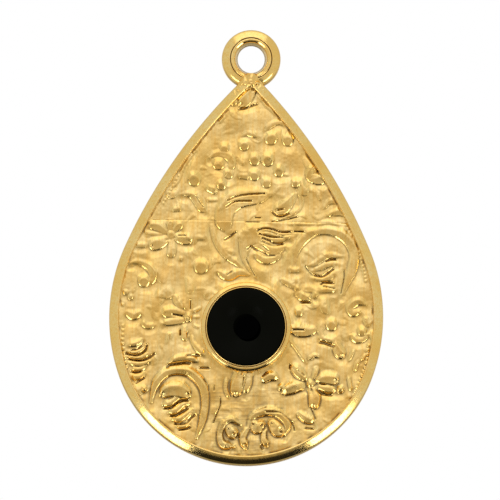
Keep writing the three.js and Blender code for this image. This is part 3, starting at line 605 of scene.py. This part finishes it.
def outline_point(offset, share_of_way):
    """A point of the outline's right half, moved inwards, at 0 (bottom) to 1 (at the ring)."""
    arcs = [
        (LOW_CENTRE, LOW_RADIUS, 0.0, LOW_END),
        (SHOULDER_CENTRE, SHOULDER_RADIUS, LOW_END, SHOULDER_END),
        (FLANK_CENTRE, FLANK_RADIUS, SHOULDER_END, ring_angle(offset)),
    ]
    way = share_of_way * sum((end - start) * radius for _, radius, start, end in arcs)
    for centre, radius, start, end in arcs:
        length = (end - start) * radius
        if way <= length:
            break
        if centre is not FLANK_CENTRE:
            way -= length
    return centre + (radius - offset) * ray(start + way / radius)


@functools.cache
def ring_angle(offset):
    """Angle round the flank's centre where this offset of the outline runs into the ring."""
    inside = LOOP_OUTER - 0.08
    step = 0.0004
    angle = SHOULDER_END
    while True:
        point = FLANK_CENTRE + (FLANK_RADIUS - offset) * ray(angle + step)
        if np.hypot(*point) < inside or point[0] < 0.004:
            return angle
        angle += step


# ---------------------------------------------------------------- meshes
def add_mesh(name, vertices, faces, material):
    mesh = bpy.data.meshes.new(name)
    places = (np.asarray(vertices, float) * MM).tolist()
    mesh.from_pydata(places, [], [list(map(int, f)) for f in faces])
    mesh.validate()
    mesh.polygons.foreach_set("use_smooth", [True] * len(mesh.polygons))
    mesh.materials.append(material)
    mesh.update()
    piece = bpy.data.objects.new(name, mesh)
    bpy.context.scene.collection.objects.link(piece)
    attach(piece, "root")
    return piece


def edit_mesh(piece, change=None):
    """Changes the piece's mesh as a bmesh, then turns its faces outwards."""
    mesh = bmesh.new()
    mesh.from_mesh(piece.data)
    if change:
        change(mesh)
    bmesh.ops.recalc_face_normals(mesh, faces=mesh.faces)
    mesh.to_mesh(piece.data)
    mesh.free()


def sharpen(piece, degrees):
    piece.data.set_sharp_from_angle(angle=math.radians(degrees))


def set_cavity(piece, values):
    """How deep each vertex lies, which the gold turns darker as painted shade."""
    worn = piece.data.attributes.new("cavity", "FLOAT", "POINT")
    worn.data.foreach_set("value", values.astype(np.float32))


def turned_mesh(profile, x, z, steps):
    """Vertices and faces of a closed profile of (radius, y) turned about an axis along Y."""
    vertices = []
    for i in range(steps):
        a = 2 * math.pi * i / steps
        for radius, y in profile:
            vertices.append((x + radius * math.sin(a), y, z - radius * math.cos(a)))
    n = len(profile)
    faces = []
    for i in range(steps):
        for j in range(n):
            a, b = i * n + j, i * n + (j + 1) % n
            c, d = ((i + 1) % steps) * n + (j + 1) % n, ((i + 1) % steps) * n + j
            faces.append((a, b, c, d))
    return vertices, faces


def lathe(name, profile, x, z, steps, material):
    """A turned piece. Points that meet on the axis or on the first station are joined."""
    vertices, faces = turned_mesh(profile, x, z, steps)
    piece = add_mesh(name, vertices, faces, material)
    edit_mesh(piece, lambda mesh: bmesh.ops.remove_doubles(mesh, verts=mesh.verts, dist=1e-7))
    return piece


def painted_groove_shade(piece, x, z, at, reach, amount):
    """Painted shade: a dark line round the axis at that radius, on the piece's front, given as cavity."""
    points = np.array([v.co for v in piece.data.vertices]) / MM
    radii = np.hypot(points[:, 0] - x, points[:, 2] - z)
    cavity = amount * np.exp(-(((radii - at) / reach) ** 2))
    set_cavity(piece, cavity * (points[:, 1] < FIELD_Y + 0.3))


def rounded(profile, radius, steps=3):
    """Corners of a closed (r, y) profile rounded off. Points with a third value stay sharp."""
    points = [np.array(p[:2], float) for p in profile]
    out = []
    for i, p in enumerate(points):
        if len(profile[i]) > 2:
            out.append(tuple(p))
            continue
        before, after = points[i - 1], points[(i + 1) % len(points)]
        in_length, out_length = np.linalg.norm(before - p), np.linalg.norm(after - p)
        reach = min(radius, in_length / 2.01, out_length / 2.01)
        a = p + (before - p) / in_length * reach
        b = p + (after - p) / out_length * reach
        for k in range(steps + 1):
            t = k / steps
            out.append(tuple((1 - t) ** 2 * a + 2 * t * (1 - t) * p + t**2 * b))
    return out


def plate_mesh(distance, height_of, cell, bounds):
    """The front of a plate: a grid clipped to distance < 0, with a height and a cavity per point."""
    x0, x1, z0, z1 = bounds
    xs = np.arange(x0, x1 + cell, cell)
    zs = np.arange(z0, z1 + cell, cell)
    height, cavity = height_of((xs, zs))
    gx, gz = np.meshgrid(xs, zs)
    d = distance(gx, gz)
    inside = d < 0
    keep = inside[:-1, :-1] & inside[1:, :-1] & inside[:-1, 1:] & inside[1:, 1:]
    cells = np.zeros(d.shape, int)  # how many kept cells meet at each point
    for j, i in ((0, 0), (0, 1), (1, 0), (1, 1)):
        cells[j : j + keep.shape[0], i : i + keep.shape[1]] += keep
    used = cells > 0
    rim = used & (cells < 4)
    e = 1e-3
    slope_x = (distance(gx + e, gz) - distance(gx - e, gz)) / (2 * e)
    slope_z = (distance(gx, gz + e) - distance(gx, gz - e)) / (2 * e)
    steep = np.maximum(slope_x**2 + slope_z**2, 0.25)
    gx = np.where(rim, gx - d * slope_x / steep, gx)
    gz = np.where(rim, gz - d * slope_z / steep, gz)
    number = np.full(d.shape, -1)
    number[used] = np.arange(used.sum())
    front = np.stack([gx[used], -height[used], gz[used]], axis=1)
    j, i = np.nonzero(keep)
    faces = np.stack([number[j, i], number[j, i + 1], number[j + 1, i + 1], number[j + 1, i]], axis=1)
    return front, faces, cavity[used]


def close_back(piece, back_y):
    """Walls from the plate's edge to a flat back, and the back itself."""

    def close(mesh):
        edges = [e for e in mesh.edges if e.is_boundary]
        wall = bmesh.ops.extrude_edge_only(mesh, edges=edges)["geom"]
        for v in wall:
            if isinstance(v, bmesh.types.BMVert):
                v.co.y = back_y * MM
        rim = [e for e in wall if isinstance(e, bmesh.types.BMEdge) and e.is_boundary]
        bmesh.ops.triangle_fill(mesh, edges=rim, use_beauty=False)

    edit_mesh(piece, close)


def plate_piece(name, distance, height_of, back_y, cell, bounds, material):
    front, faces, cavity = plate_mesh(distance, height_of, cell, bounds)
    piece = add_mesh(name, front, faces, material)
    set_cavity(piece, cavity)
    close_back(piece, back_y)
    sharpen(piece, 72)
    return piece


def relief_plate(name, top, bottom, cell, material, hole):
    """An embossed plate between two heights, with or without the opening for the bezel."""

    def distance(x, z):
        d = drop_distance(x, z) + 0.5
        d = np.maximum(d, z - top)
        d = np.maximum(d, bottom - z)
        d = np.maximum(d, LOOP_OUTER - 0.1 - np.hypot(x, z))
        if hole:
            d = np.maximum(d, BEZEL_OUTER - 0.15 - np.hypot(x - EYE_X, z - EYE_Z))
        return d

    def height(grid):
        over_ground, cavity = relief_height(grid)
        return over_ground - FIELD_Y, cavity

    margin = 12 * cell  # the cavity looks at neighbours, so the grid runs on past the plate
    bounds = (-12.6, 12.6, max(bottom, RIM_LOW[2]) - margin, min(top, -2.0) + margin)
    return plate_piece(name, distance, height, CARRIER_Y, cell, bounds, material)


NECK_BEADS = [  # (x, z, radius)
    (0.63, -2.27, 0.22), (1.19, -2.89, 0.12), (-1.17, -3.02, 0.16), (-0.44, -2.83, 0.12),
    (1.63, -3.3, 0.1),
]
NECK_HALF_WIDTHS = [  # (z, half width)
    (-3.7, 2.0), (-3.0, 1.6), (-2.6, 1.3), (-2.2, 1.08), (-1.75, 0.82), (-1.5, 0.6),
    (-1.38, 0.34),
]
NECK_ARCH = [  # (x, z) along the lower edge
    (-1.75, -3.95), (-1.17, -3.6), (-0.4, -2.95), (0.29, -2.66), (0.8, -2.95), (1.4, -3.5),
    (1.85, -3.95),
]
NECK_RIDGE = {"height": 0.15, "half_width": 0.32, "from_z": -2.75, "fade": 0.3}
NECK_ARCH_LINE = {"depth": 0.05, "width": 0.1}
NECK_BEAD_RISE = 0.85  # over the bead's radius
NECK_WARMTH = 0.09  # lowers the cavity value, which tints the neck towards orange


def neck_piece(material):
    """The saddle where the two ends of the rim meet over the ring."""
    heights, half_widths = np.array(NECK_HALF_WIDTHS).T
    arch_x, arch_z = np.array(NECK_ARCH).T

    def distance(x, z):
        sides = (np.abs(x) - np.interp(z, heights, half_widths)) * 0.8
        flanks = drop_distance(x, z) + 0.06
        outside = np.where(z > -2.4, sides, np.maximum(sides, flanks))
        return np.maximum.reduce([outside, np.interp(x, arch_x, arch_z) - z, z + 1.4])

    def height(grid):
        gx, gz = np.meshgrid(*grid)
        bevel = 0.7 + 0.66 * np.clip(-drop_distance(gx, gz), 0, 0.75)  # goes on from the rim
        aside = np.abs(gx) / np.interp(grid[1], heights, half_widths)[:, None]
        saddle = 1.1 - 0.34 * np.clip(aside, 0, 1.1) ** 3
        over_ring = np.clip((LOOP_OUTER + 0.35 - np.hypot(gx, gz)) / 0.6, 0, 1)
        h = bevel * (1 - over_ring) + saddle * over_ring
        ridge = np.exp(-((gx / NECK_RIDGE["half_width"]) ** 4))
        ridge *= np.clip((gz - NECK_RIDGE["from_z"]) / NECK_RIDGE["fade"], 0, 1)
        h += NECK_RIDGE["height"] * ridge
        for x, z, radius in NECK_BEADS:
            t = np.hypot(gx - x, gz - z) / radius
            h += NECK_BEAD_RISE * radius * np.clip(1 - t**2, 0, 1)
        arch = gz - np.interp(grid[0], arch_x, arch_z)
        h -= NECK_ARCH_LINE["depth"] * np.exp(-((arch / NECK_ARCH_LINE["width"]) ** 2))
        h += layered_noise(grid, NECK_LAYERS)
        h = blurred(h, 1)
        # The cavity gives painted shade in the neck's hollows; NECK_WARMTH lowers it, tinting the neck
        # towards orange.
        return h, blurred(h, CAVITY_BLUR["neck"]) - h - NECK_WARMTH

    bounds = (-2.2, 2.2, -4.2, -1.2)
    return plate_piece("neck", distance, height, FIELD_Y, CELL["neck"], bounds, material)


def rim_profile():
    """Section of the rim: (offset from the outline, y)."""
    top = RIM_LOW[1]
    corners = [
        (0.1, BACK_Y),
        (0.0, BACK_Y - 0.1),
        (0.0, -0.6),
        (0.1, top + 0.38),
        ((RIM_WIDTH - 0.02) / 2, top + 0.178),
        (RIM_WIDTH - 0.12, top),
        (RIM_WIDTH, top + 0.05),
        (RIM_WIDTH + 0.03, FIELD_Y + 0.2),
        (0.5, FIELD_Y + 0.3),
        (0.5, BACK_Y),
    ]
    return rounded(corners, 0.07)


def rim_piece(material):
    """The rim's section carried round the drop, with a flat cap at each end, under the neck."""
    profile = rim_profile()
    steps = 260
    rails = []
    for offset, y in profile:
        right = [outline_point(offset, i / steps) for i in range(steps + 1)]
        rails.append([(-x, y, z) for x, z in right[:0:-1]] + [(x, y, z) for x, z in right])
    stations = len(rails[0])
    n = len(profile)
    vertices = [rails[j][i] for i in range(stations) for j in range(n)]
    faces = []
    for i in range(stations - 1):
        for j in range(n):
            a, b = i * n + j, i * n + (j + 1) % n
            faces.append((a, b, b + n, a + n))
    faces.append(tuple(range(n)))
    faces.append(tuple((stations - 1) * n + j for j in reversed(range(n))))
    piece = add_mesh("rim", vertices, faces, material)
    edit_mesh(piece)
    inner_wall = [offset > RIM_WIDTH - 0.04 and y > RIM_LOW[1] + 0.05 for offset, y in profile]
    # Painted shade on the rim's inner wall, given as cavity
    set_cavity(piece, WALL_PAINTED_SHADE * np.tile(inner_wall, stations))
    sharpen(piece, 50)
    return piece


# ---------------------------------------------------------------- materials
def new_material(name):
    material = bpy.data.materials.new(name)
    material.use_nodes = True
    tree = material.node_tree
    return material, tree, tree.nodes["Principled BSDF"]


def add_node(tree, kind, **values):
    node = tree.nodes.new(kind)
    for key, value in values.items():
        setattr(node, key, value)
    return node


def noise(tree, scale, detail=2.0, stretch=(1, 1, 1)):
    """A noise in object space; scale is in features per millimetre."""
    place = add_node(tree, "ShaderNodeTexCoord")
    mapping = add_node(tree, "ShaderNodeMapping")
    mapping.inputs["Scale"].default_value = [s * scale / MM for s in stretch]
    texture = add_node(tree, "ShaderNodeTexNoise")
    texture.inputs["Scale"].default_value = 1.0
    texture.inputs["Detail"].default_value = detail
    tree.links.new(place.outputs["Object"], mapping.inputs["Vector"])
    tree.links.new(mapping.outputs["Vector"], texture.inputs["Vector"])
    return texture.outputs["Fac"]


def feed(tree, value, socket):
    """Links a socket to another one, or sets it to a number or a colour."""
    if isinstance(value, bpy.types.NodeSocket):
        tree.links.new(value, socket)
    else:
        socket.default_value = (*value, 1) if socket.type == "RGBA" else value


def ramp(tree, source, low, high, at_low, at_high):
    """Maps source from low..high to at_low..at_high, clamped."""
    node = add_node(tree, "ShaderNodeMapRange")
    node.inputs["From Min"].default_value = low
    node.inputs["From Max"].default_value = high
    node.inputs["To Min"].default_value = at_low
    node.inputs["To Max"].default_value = at_high
    tree.links.new(source, node.inputs["Value"])
    return node.outputs["Result"]


def tinted_ramp(tree, source, low, high, at_low, at_high):
    """The same as ramp, between two colours."""
    node = add_node(tree, "ShaderNodeCombineColor")
    for channel, start, end in zip(node.inputs, at_low, at_high):
        tree.links.new(ramp(tree, source, low, high, start, end), channel)
    return node.outputs["Color"]


def calculate(tree, operation, *values):
    node = add_node(tree, "ShaderNodeMath", operation=operation)
    for value, socket in zip(values, node.inputs):
        feed(tree, value, socket)
    return node.outputs[0]


def distance_from(tree, source, middle):
    """How far source lies from a fixed value."""
    return calculate(tree, "ABSOLUTE", calculate(tree, "SUBTRACT", source, middle))


def mix_colour(tree, factor, a, b):
    node = add_node(tree, "ShaderNodeMix", data_type="RGBA")
    sockets = [s for s in node.inputs if s.type == "RGBA"]
    for socket, value in zip(sockets, (a, b)):
        feed(tree, value, socket)
    tree.links.new(factor, node.inputs["Factor"])
    return [s for s in node.outputs if s.type == "RGBA"][0]


def vary_roughness(tree, shader, source, roughness, share):
    """Roughness that follows a noise, up to that share more or less."""
    rough = ramp(tree, source, 0.3, 0.7, roughness * (1 - share), roughness * (1 + share))
    tree.links.new(rough, shader.inputs["Roughness"])


GOLD = (0.95, 0.65, 0.19)
DEEP_GOLD = (0.93, 0.56, 0.13)
PALE_GOLD = (0.97, 0.72, 0.27)
# Dark brown of the painted shade in creases, grooves and recesses
CREASE_SHADE = (0.26, 0.17, 0.065)
UMBER = (0.5, 0.34, 0.12)


def scratched(tree, colour):
    """Brown scratches on the lowest part of the field, below the eye."""
    scratches = noise(tree, 4.0, 3.0, (0.12, 1, 1.4))
    split = add_node(tree, "ShaderNodeSeparateXYZ")
    tree.links.new(add_node(tree, "ShaderNodeTexCoord").outputs["Object"], split.inputs[0])
    low = ramp(tree, split.outputs["Z"], -28 * MM, -31 * MM, 0, 1)
    aside = distance_from(tree, split.outputs["X"], 0)
    middle = ramp(tree, aside, 2.5 * MM, 4.5 * MM, 1, 0)
    strength = ramp(tree, scratches, 0.45, 0.62, 0, 0.55)
    where = calculate(tree, "MULTIPLY", calculate(tree, "MULTIPLY", low, middle), strength)
    return mix_colour(tree, where, colour, UMBER)


def gold(name, roughness, brushed, relief=False):
    """Gold plate. A relief one reads the cavity: warmer where it stands out, darker where it lies deep, as
    painted shade.
    """
    material, tree, shader = new_material(name)
    shader.inputs["Metallic"].default_value = 1.0
    streaks = noise(tree, 5.0, 3.0, (1, 1, 0.12) if brushed else (1, 1, 1))
    blotch = noise(tree, 0.35, 2.0)
    colour = mix_colour(tree, ramp(tree, blotch, 0.35, 0.65, 0, 1), PALE_GOLD, GOLD)
    colour = mix_colour(tree, ramp(tree, streaks, 0.42, 0.72, 0, 0.8), colour, DEEP_GOLD)
    warm = noise(tree, 0.5, 1.5, (1, 1, 0.7))
    colour = mix_colour(tree, ramp(tree, warm, 0.52, 0.72, 0, 0.6), colour, DEEP_GOLD)
    if brushed and relief:
        colour = scratched(tree, colour)
    if relief:
        cavity = add_node(tree, "ShaderNodeAttribute", attribute_name="cavity").outputs["Fac"]
        colour = mix_colour(tree, ramp(tree, cavity, -0.02, -0.09, 0, 0.35), colour, DEEP_GOLD)
        # Painted shade: the deeper the cavity, the nearer the colour goes to dark brown.
        colour = mix_colour(tree, ramp(tree, cavity, 0.008, 0.05, 0, 0.9), colour, CREASE_SHADE)
    tree.links.new(colour, shader.inputs["Base Color"])
    vary_roughness(tree, shader, streaks, roughness, 0.25)
    bump = add_node(tree, "ShaderNodeBump")
    bump.inputs["Distance"].default_value = (0.018 if brushed else 0.004) * MM
    bump.inputs["Strength"].default_value = 1.0
    tree.links.new(streaks, bump.inputs["Height"])
    tree.links.new(bump.outputs["Normal"], shader.inputs["Normal"])
    return material


def eye_glass(name, colour, roughness):
    material, tree, shader = new_material(name)
    shader.inputs["Specular IOR Level"].default_value = 0.01
    darker = tuple(0.7 * c for c in colour)
    tree.links.new(mix_colour(tree, noise(tree, 0.6), colour, darker), shader.inputs["Base Color"])
    vary_roughness(tree, shader, noise(tree, 2.0), roughness, 0.2)
    return material


def plain(name, colour, roughness):
    material, tree, shader = new_material(name)
    cloud = noise(tree, 0.5)
    darker = tuple(0.9 * c for c in colour)
    tree.links.new(mix_colour(tree, cloud, colour, darker), shader.inputs["Base Color"])
    vary_roughness(tree, shader, cloud, roughness, 0.1)
    return material


# ---------------------------------------------------------------- pieces
satin = gold("satin_gold", 0.24, True, relief=True)
polished = gold("polished_gold", 0.14, False, relief=True)
back_gold = gold("plain_gold", 0.3, True)

upper = relief_plate("relief_upper", 0.0, SEAM_Z + SEAM_GAP / 2, CELL["upper"], satin, False)
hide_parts("relief_plate_upper")
lower = relief_plate("relief_lower", SEAM_Z - SEAM_GAP / 2, -40.0, CELL["lower"], satin, True)
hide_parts("relief_plate_lower")

rim = rim_piece(polished)
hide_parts("rim_frame")


def loop_profile():
    """Section of the ring: a sloping outer band and a flat inner lip with a fine groove between them."""
    crown = LOOP_LOW[1]
    face = [
        (RING_WAIST, 0.0, 1),
        (1.5, crown + 0.16),
        (1.72, crown + 0.03),
        (RING_GROOVE - 0.03, crown + 0.06),
        (RING_GROOVE, crown + 0.2),
        (RING_GROOVE + 0.04, crown + 0.04),
        (LOOP_OUTER - 0.28, -0.72),
        (LOOP_OUTER - 0.05, -0.5),
        (LOOP_OUTER, -0.25),
    ]
    back = [(r, -y) for r, y, *_ in face[:0:-1]]
    return rounded(face + back, 0.1, 5)


loop = lathe("ring", loop_profile(), 0, 0, 144, polished)
# Painted shade in the ring's fine groove
painted_groove_shade(loop, 0, 0, RING_GROOVE, 0.05, 0.06)
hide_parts("bail_loop")


def bezel_profile():
    """Section of the bezel: a lip round the eye, a fine groove, a slope and an upright wall."""
    front = BEZEL_LOW[1]
    corners = [
        (0.0, -0.45, 1),
        (EYE_RADIUS + 0.03, -0.45, 1),
        (EYE_RADIUS + 0.03, front + 0.06),
        (EYE_RADIUS + 0.09, front),
        (EYE_RADIUS + BEZEL_GROOVE - 0.04, front + 0.02),
        (EYE_RADIUS + BEZEL_GROOVE, front + 0.13),
        (EYE_RADIUS + BEZEL_GROOVE + 0.04, front + 0.03),
        (EYE_RADIUS + 0.4, front + 0.08),
        (BEZEL_OUTER - 0.02, front + 0.24),
        (BEZEL_OUTER, front + 0.34),
        (BEZEL_OUTER, FIELD_Y + 0.2, 1),
        (BEZEL_OUTER - 0.16, FIELD_Y + 0.2, 1),
        (BEZEL_OUTER - 0.16, CARRIER_Y, 1),
        (0.0, CARRIER_Y, 1),
    ]
    return rounded(corners, 0.04)


bezel = lathe("bezel", bezel_profile(), EYE_X, EYE_Z, 160, polished)
# Painted shade in the bezel's fine groove
painted_groove_shade(bezel, EYE_X, EYE_Z, EYE_RADIUS + BEZEL_GROOVE, 0.04, 0.05)
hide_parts("bezel_cup")


def iris_profile():
    """Section of the flat eye with the recess that holds the black disc of painted reflection."""
    front = EYE_LOW[1]
    corners = [
        (0.0, front + LENS_REFLECTION_DEPTH, 1),
        (LENS_REFLECTION_RADIUS + 0.01, front + LENS_REFLECTION_DEPTH, 1),
        (LENS_REFLECTION_RADIUS + 0.01, front, 1),
        (EYE_RADIUS - 0.1, front),
        (EYE_RADIUS, front + 0.1),
        (EYE_RADIUS, EYE_BACK_Y, 1),
        (0.0, EYE_BACK_Y, 1),
    ]
    return rounded(corners, 0.04)


# The black disc in the eye is a painted reflection of the camera lens.
def lens_reflection_profile():
    front = EYE_LOW[1]
    back = front + LENS_REFLECTION_DEPTH
    return [(0.0, front), (LENS_REFLECTION_RADIUS, front), (LENS_REFLECTION_RADIUS, back), (0.0, back)]


glass = eye_glass("black_glass", (0.005, 0.0052, 0.0034), 0.3)
iris = lathe("eye", iris_profile(), EYE_X, EYE_Z, 160, glass)
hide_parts("eye_iris")

# Painted reflection: a pure black disc where the camera lens shows in the flat eye.
dark = eye_glass("pupil_black", (0.0, 0.0, 0.0), 0.4)
lens_reflection_disc = lathe("lens_reflection_disc", lens_reflection_profile(), LENS_REFLECTION_X, LENS_REFLECTION_Z, 96, dark)
sharpen(lens_reflection_disc, 30)
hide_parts("eye_pupil")

neck = neck_piece(satin)
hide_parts("bail_neck")

glue = plain("adhesive", (0.58, 0.56, 0.46), 0.5)
for node, material in (("back_plate", back_gold), ("adhesive_disc", glue)):
    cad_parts[node].data.materials.clear()
    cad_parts[node].data.materials.append(material)


# ---------------------------------------------------------------- camera, light and floor
CAMERA = {
    "elevation": math.radians(-5.0),
    "roll": math.radians(1.1),
    "width": 45.7,  # mm across the picture at the target
    "target": (0.23, -0.5, -17.58),
    "lens": 400.0,
    "sensor": 36.0,
}

# Brightness by direction: (degrees from straight down, value)
LIGHT_STOPS = [(0, 0.02), (30, 0.02), (33, 0.72), (145, 0.72), (149, 1.3), (180, 1.3)]
LIGHT_TURN = 3  # degrees by which the whole pattern is turned to the right
LAMP = {"starts": (30, 32), "ends": (55, 58), "y": -0.55, "half_width": (0.12, 0.15), "value": 5}
BROWN = {"colour": (1, 0.9, 0.7), "share": 0.32, "y": (-0.635, -0.595), "ends": (22, 30)}
FRONT = {"z": (-0.115, 0.515), "low": (0.58, 0.51, 0.42), "high": (1.25, 1.25, 1.5)}
BACKDROP = {"z": (-0.5, -0.1), "low": 0.36, "high": 0.66}
STRAIGHT_BACK = {"z": (-0.085, -0.045), "low": (0.14, 0.1, 0.06), "high": (0.78, 0.68, 0.5)}


def set_camera():
    elevation = CAMERA["elevation"]
    target = Vector(CAMERA["target"]) * MM
    away = CAMERA["width"] * MM * CAMERA["lens"] / CAMERA["sensor"]
    back = Vector((0, -math.cos(elevation), math.sin(elevation)))
    camera = bpy.data.objects.new("camera", bpy.data.cameras.new("camera"))
    bpy.context.scene.collection.objects.link(camera)
    camera.data.lens = CAMERA["lens"]
    camera.data.sensor_width = CAMERA["sensor"]
    camera.data.clip_start = 0.01
    camera.data.clip_end = 10
    place = Matrix.Translation(target + back * away)
    turn = (-back).to_track_quat("-Z", "Y").to_matrix().to_4x4()
    camera.matrix_world = place @ turn @ Matrix.Rotation(CAMERA["roll"], 4, "Z")
    bpy.context.scene.camera = camera


def colour_stops(tree, source):
    """LIGHT_STOPS as a colour, for a source of 0 (straight down) to 1 (straight up)."""
    node = add_node(tree, "ShaderNodeValToRGB")
    elements = node.color_ramp.elements
    while len(elements) > 1:
        elements.remove(elements[-1])
    for k, (degrees, value) in enumerate(LIGHT_STOPS):
        element = elements[0] if k == 0 else elements.new(degrees / 180)
        element.position = degrees / 180
        element.color = (value, value, value, 1)
    tree.links.new(source, node.inputs[0])
    return node.outputs["Color"]


def between(tree, source, span, at_low, at_high):
    """A ramp between two angles in degrees."""
    return ramp(tree, source, *(math.radians(degrees) for degrees in span), at_low, at_high)


def sideways_light(tree, y, aside):
    """What the slopes mirror: a dark part below with a brown inner part, and a lamp on each side."""
    below = calculate(
        tree,
        "MULTIPLY",
        ramp(tree, y, *BROWN["y"], BROWN["share"], 0),
        between(tree, aside, BROWN["ends"], 1, 0),
    )
    stops = colour_stops(tree, ramp(tree, aside, 0, math.pi, 0, 1))
    unlit = mix_colour(tree, below, stops, BROWN["colour"])
    lamps = calculate(
        tree,
        "MULTIPLY",
        between(tree, aside, LAMP["starts"], 0, 1),
        between(tree, aside, LAMP["ends"], 1, 0),
    )
    band = ramp(tree, distance_from(tree, y, LAMP["y"]), *LAMP["half_width"], 1, 0)
    lamps = calculate(tree, "MULTIPLY", lamps, band)
    return mix_colour(tree, lamps, unlit, (LAMP["value"],) * 3)


def set_world():
    """Light by direction.

    The front is pale and warm, brighter upwards. Round the sides it is dark straight below and pale
    above, with a strong lamp low on each side. The backdrop is grey. The camera itself sees white.
    """
    world = bpy.data.worlds.new("light")
    bpy.context.scene.world = world
    world.use_nodes = True
    tree = world.node_tree
    split = add_node(tree, "ShaderNodeSeparateXYZ")
    place = add_node(tree, "ShaderNodeTexCoord")
    tree.links.new(place.outputs["Generated"], split.inputs[0])
    x, y, z = split.outputs
    angle = calculate(tree, "ARCTAN2", x, calculate(tree, "MULTIPLY", z, -1))
    aside = distance_from(tree, angle, math.radians(LIGHT_TURN))
    sides = sideways_light(tree, y, aside)
    grey = ramp(tree, z, *BACKDROP["z"], BACKDROP["low"], BACKDROP["high"])
    straight_back = tinted_ramp(
        tree, z, *STRAIGHT_BACK["z"], STRAIGHT_BACK["low"], STRAIGHT_BACK["high"]
    )
    backdrop = mix_colour(tree, ramp(tree, y, 0.93, 0.97, 0, 1), grey, straight_back)
    around = mix_colour(tree, ramp(tree, y, -0.1, 0.25, 0, 1), sides, backdrop)
    front = tinted_ramp(tree, z, *FRONT["z"], FRONT["low"], FRONT["high"])
    light = mix_colour(tree, ramp(tree, y, -0.93, -0.8, 1, 0), around, front)
    seen = add_node(tree, "ShaderNodeLightPath").outputs["Is Camera Ray"]
    background = tree.nodes["Background"]
    tree.links.new(mix_colour(tree, seen, light, (1, 1, 1)), background.inputs["Color"])
    background.inputs["Strength"].default_value = 1.0


def set_floor():
    """A pale floor well below and around the part, which mirrors don't show."""
    side, z = 3.0, -0.2  # metres
    mesh = bpy.data.meshes.new("floor")
    corners = [(-side, -side, z), (side, -side, z), (side, side, z), (-side, side, z)]
    mesh.from_pydata(corners, [], [(0, 1, 2, 3)])
    floor = bpy.data.objects.new("floor", mesh)
    bpy.context.scene.collection.objects.link(floor)
    mesh.materials.append(plain("floor_paint", (0.86, 0.86, 0.85), 0.9))
    floor.visible_glossy = False


set_camera()
set_world()
set_floor()
bpy.context.scene.view_settings.view_transform = "Standard"
